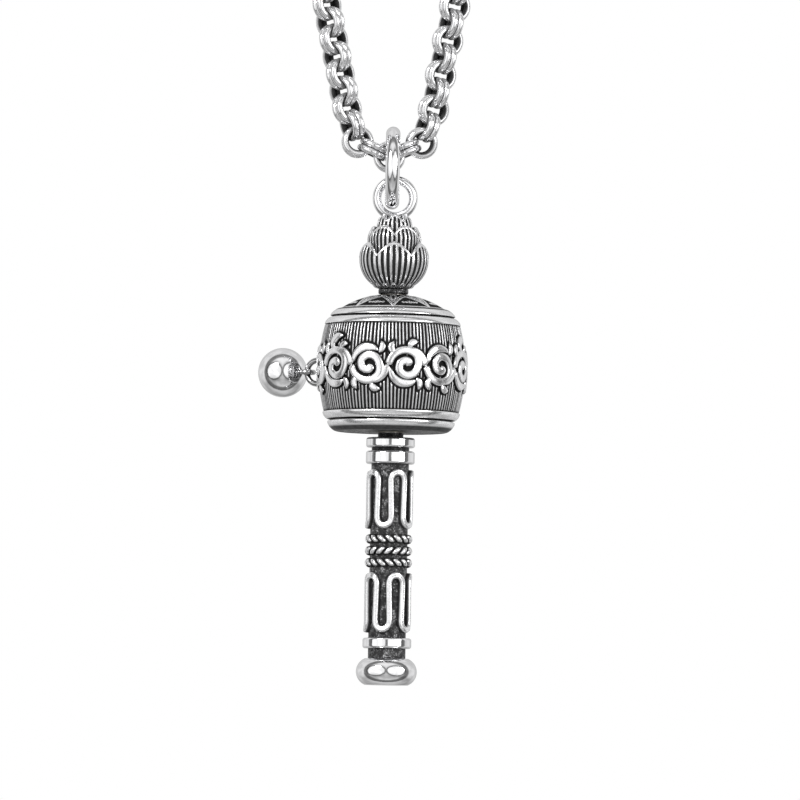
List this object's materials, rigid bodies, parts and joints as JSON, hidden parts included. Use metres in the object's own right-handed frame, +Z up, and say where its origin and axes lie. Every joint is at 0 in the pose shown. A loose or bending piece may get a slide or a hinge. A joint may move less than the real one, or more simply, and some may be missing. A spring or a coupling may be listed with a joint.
{
  "type": "prayer wheel pendant",
  "caption": "Pocket prayer wheel pendant: a fluted drum with a ball weight spins on a wire-wrapped handle under a lotus bud, hung from a chain.",
  "frame": {"origin": "on the spin axis, at the height where the jump ring bears on the chain", "axes": "+Z up the spin axis, -Y the front, -X the side where the weight is drawn out at rest"},
  "size_m": [0.0218, 0.017, 0.0797],
  "materials": {
    "polished_silver": "bright polished silver",
    "oxidised_silver": "silver with dark patina in its recesses",
    "dark_silver": "blackened silver, finely mottled",
    "steel_wire": "drawn wire",
    "brass_bush": "turned brass",
    "scroll_paper": "blank rolled paper"
  },
  "bodies": {
    "chain": {"chain_saddle": "polished_silver", "chain_left": "polished_silver", "chain_right": "polished_silver", "clasp_link": "polished_silver", "clasp_shell": "polished_silver", "clasp_spring": "steel_wire", "end_ring": "polished_silver"},
    "clasp_gate": {"clasp_gate": "steel_wire"},
    "jump_ring": {"jump_ring": "polished_silver"},
    "handle": {"pommel": "polished_silver", "handle_core": "dark_silver", "base_collar": "polished_silver", "shoulder_collar": "polished_silver", "top_collar": "polished_silver", "lower_scroll_wire": "polished_silver", "upper_scroll_wire": "polished_silver", "rope_ring_1": "polished_silver", "rope_ring_2": "polished_silver", "rope_ring_3": "polished_silver", "axle": "oxidised_silver", "thrust_washer": "dark_silver", "finial_base": "polished_silver", "bud_core": "dark_silver", "lower_petals": "oxidised_silver", "upper_petals": "oxidised_silver", "top_petals": "oxidised_silver", "finial_eye": "polished_silver"},
    "wheel": {"drum_shell": "dark_silver", "drum_ornament": "polished_silver", "base_rim": "polished_silver", "lower_rim": "polished_silver", "upper_rim": "polished_silver", "top_rim": "polished_silver", "dome_cap": "oxidised_silver", "bottom_cap": "oxidised_silver", "upper_bush": "brass_bush", "lower_bush": "brass_bush", "scroll_sleeve": "oxidised_silver", "prayer_scroll": "scroll_paper", "weight_lug": "oxidised_silver"},
    "weight_link": {"weight_link": "polished_silver"},
    "weight": {"weight_ball": "polished_silver", "weight_eye": "polished_silver"}
  },
  "joints": [
    {"name": "ring_swing", "type": "hinge", "parent": "chain", "child": "jump_ring", "pos_m": [-0.0003, 0, -0.00268], "axis": [1, 0, 0], "range_deg": [-25, 25]},
    {"name": "pendant_tilt", "type": "hinge", "parent": "jump_ring", "child": "handle", "pos_m": [-0.0003, 0, -0.00607], "axis": [0, 1, 0], "range_deg": [-60, 60]},
    {"name": "wheel_spin", "type": "hinge", "parent": "handle", "child": "wheel", "pos_m": [0, 0, -0.02254], "axis": [0, 0, 1], "continuous": true},
    {"name": "link_swing", "type": "hinge", "parent": "wheel", "child": "weight_link", "pos_m": [-0.00698, 0.00453, -0.02272], "axis": [-0.5446, -0.8387, 0], "range_deg": [-32, 32]},
    {"name": "weight_swing", "type": "hinge", "parent": "weight_link", "child": "weight", "pos_m": [-0.00788, 0.00512, -0.02272], "axis": [-0.5446, -0.8387, 0], "range_deg": [-42, 42]},
    {"name": "clasp_open", "type": "hinge", "parent": "chain", "child": "clasp_gate", "pos_m": [-0.00907, 0, 0.02267], "axis": [0.6917, 0.7071, 0.147], "range_deg": [0, 55], "stiffness_Nm_per_rad": 0.00002, "springref_deg": -20.05, "deforming": ["clasp_spring"]}
  ]
}
